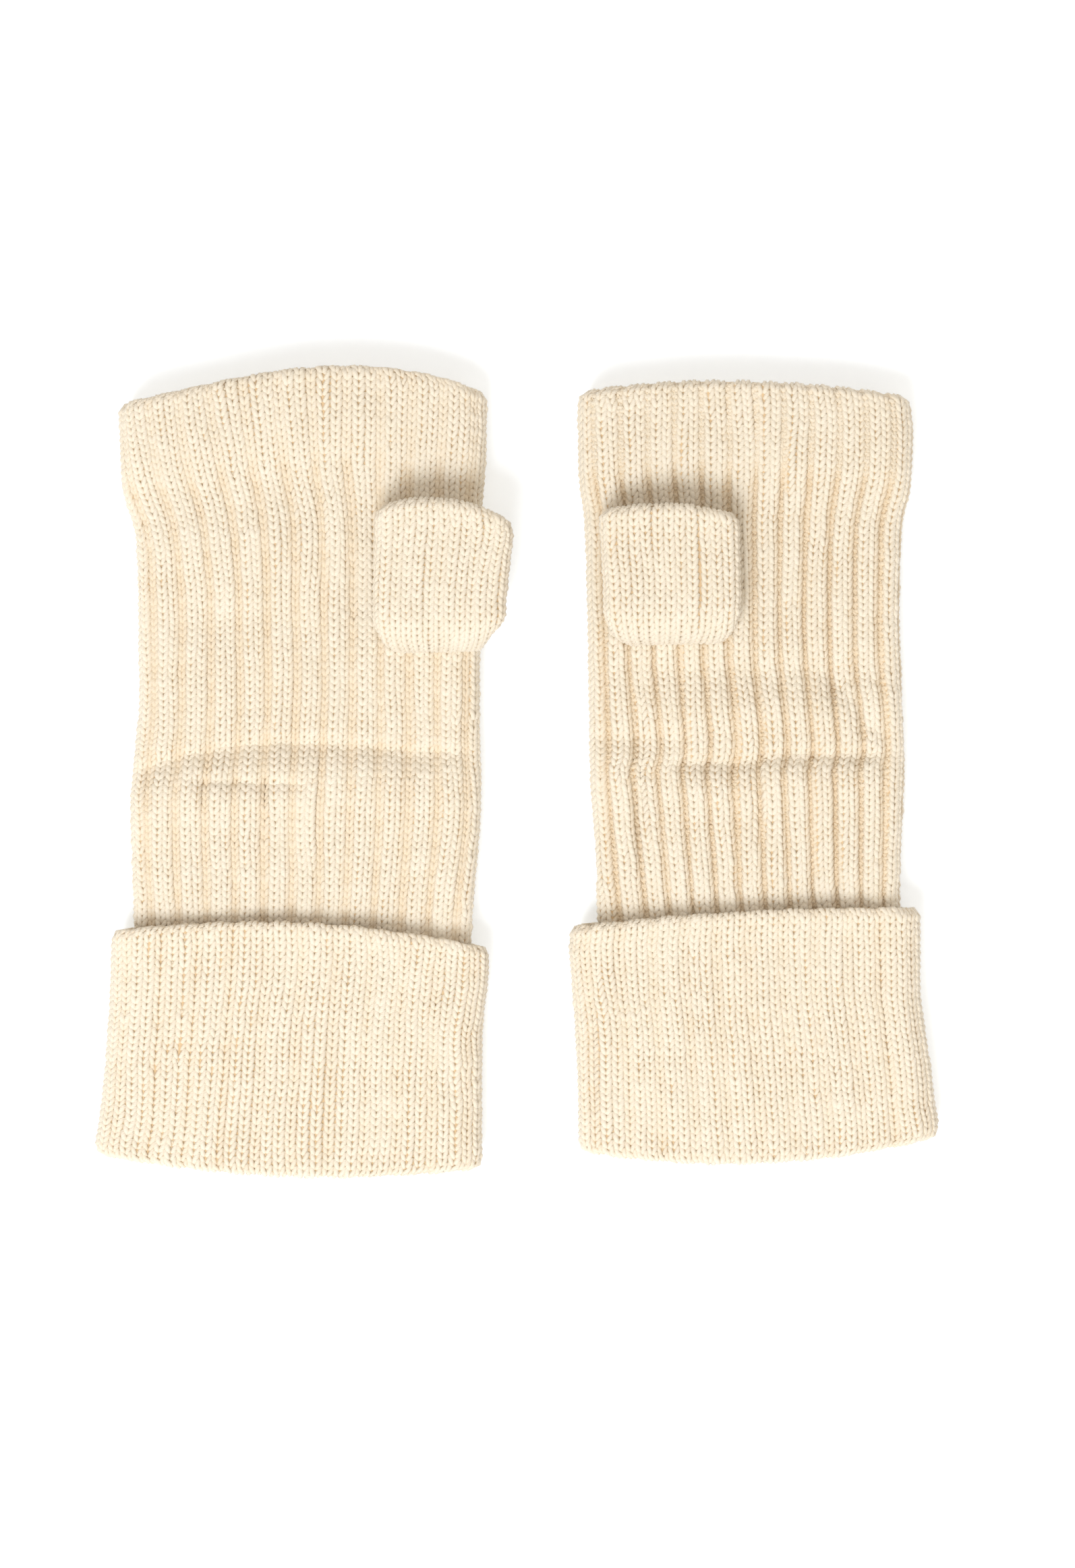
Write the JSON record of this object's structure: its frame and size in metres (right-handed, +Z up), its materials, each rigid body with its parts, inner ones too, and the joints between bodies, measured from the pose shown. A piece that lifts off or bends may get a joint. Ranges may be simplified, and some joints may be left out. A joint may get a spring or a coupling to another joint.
{
  "type": "fingerless gloves",
  "caption": "Pair of long rib-knitted fingerless gloves with turned-up cuffs and short open thumbs, lying flat.",
  "frame": {"origin": "middle of the pair's footprint, on the table that it lies on", "axes": "+Z up from the table, through the thickness; +Y towards the finger ends; +X across the pair, from the left glove to the right glove"},
  "size_m": [0.2292, 0.2202, 0.0243],
  "materials": {
    "rib_knit": "cream wool rib knit, matt with a soft fuzz",
    "thumb_knit": "cream wool stocking stitch, matt",
    "edge_knit": "cream wool, cast-off chain",
    "stitching": "cream wool sewing yarn"
  },
  "bodies": {
    "left_glove": {"left_hand_sleeve": "rib_knit", "left_finger_hem": "rib_knit", "left_hem_stitching": "stitching", "left_thumb_gusset": "thumb_knit", "left_thumb_seam": "stitching"},
    "left_thumb": {"left_thumb_tube": "thumb_knit", "left_thumb_edge": "edge_knit"},
    "left_cuff": {"left_turned_cuff": "rib_knit", "left_cuff_edge": "edge_knit"},
    "right_glove": {"right_hand_sleeve": "rib_knit", "right_finger_hem": "rib_knit", "right_hem_stitching": "stitching", "right_thumb_gusset": "thumb_knit", "right_thumb_seam": "stitching"},
    "right_thumb": {"right_thumb_tube": "thumb_knit", "right_thumb_edge": "edge_knit"},
    "right_cuff": {"right_turned_cuff": "rib_knit", "right_cuff_edge": "edge_knit"}
  },
  "joints": [
    {"name": "left_thumb_fold", "type": "hinge", "parent": "left_glove", "child": "left_thumb", "pos_m": [-0.021, 0.0426, 0.0134], "axis": [1, 0, 0], "range_deg": [0, 90], "deforming": ["left_thumb_gusset"]},
    {"name": "left_cuff_turn", "type": "slide", "parent": "left_glove", "child": "left_cuff", "axis": [0, -1, 0], "range_m": [0, 0.06]},
    {"name": "right_thumb_fold", "type": "hinge", "parent": "right_glove", "child": "right_thumb", "pos_m": [0.0419, 0.0446, 0.0134], "axis": [1, 0, 0], "range_deg": [0, 90], "deforming": ["right_thumb_gusset"]},
    {"name": "right_cuff_turn", "type": "slide", "parent": "right_glove", "child": "right_cuff", "axis": [0, -1, 0], "range_m": [0, 0.06]},
    {"name": "gloves_apart", "type": "slide", "parent": "left_glove", "child": "right_glove", "axis": [1, 0, 0], "range_m": [0, 0.1]}
  ]
}
